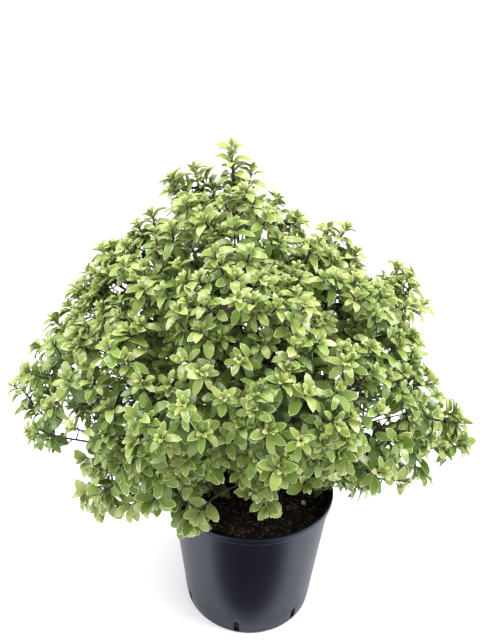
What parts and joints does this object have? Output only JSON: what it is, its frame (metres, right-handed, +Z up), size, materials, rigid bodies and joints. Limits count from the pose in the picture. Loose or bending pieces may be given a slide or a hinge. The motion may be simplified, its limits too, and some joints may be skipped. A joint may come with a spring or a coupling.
{
  "type": "potted kohuhu shrub",
  "caption": "Bushy young evergreen shrub with small pale-edged leaves on dark stems, growing in a round black nursery pot with drain slots.",
  "frame": {"origin": "middle of the pot's flat underside", "axes": "+Z up along the pot's axis; the crown's fullest side, the pictured one, faces -Y, and its longer reach is along X"},
  "size_m": [0.7699, 0.527, 0.7794],
  "materials": {
    "pot": "moulded, satin",
    "soil": "loose bark compost",
    "bark": "dark young bark",
    "leaf": "leathery, satin"
  },
  "bodies": {
    "root": {"bough_low_01": "bark", "bough_low_02": "bark", "bough_low_03": "bark", "bough_low_04": "bark", "bough_low_05": "bark", "bough_low_06": "bark", "bough_low_07": "bark", "bough_low_08": "bark", "bough_low_09": "bark", "bough_middle_01": "bark", "bough_middle_02": "bark", "bough_middle_03": "bark", "bough_middle_04": "bark", "bough_middle_05": "bark", "bough_middle_06": "bark", "bough_middle_07": "bark", "bough_middle_08": "bark", "bough_top": "bark", "bough_upper_01": "bark", "bough_upper_02": "bark", "bough_upper_03": "bark", "bough_upper_04": "bark", "bough_upper_05": "bark", "foliage_low_01": "leaf", "foliage_low_02": "leaf", "foliage_low_03": "leaf", "foliage_low_04": "leaf", "foliage_low_05": "leaf", "foliage_low_06": "leaf", "foliage_low_07": "leaf", "foliage_low_08": "leaf", "foliage_low_09": "leaf", "foliage_middle_01": "leaf", "foliage_middle_02": "leaf", "foliage_middle_03": "leaf", "foliage_middle_04": "leaf", "foliage_middle_05": "leaf", "foliage_middle_06": "leaf", "foliage_middle_07": "leaf", "foliage_middle_08": "leaf", "foliage_top": "leaf", "foliage_upper_01": "leaf", "foliage_upper_02": "leaf", "foliage_upper_03": "leaf", "foliage_upper_04": "leaf", "foliage_upper_05": "leaf", "pot": "pot", "soil": "soil", "trunk": "bark"}
  },
  "joints": []
}
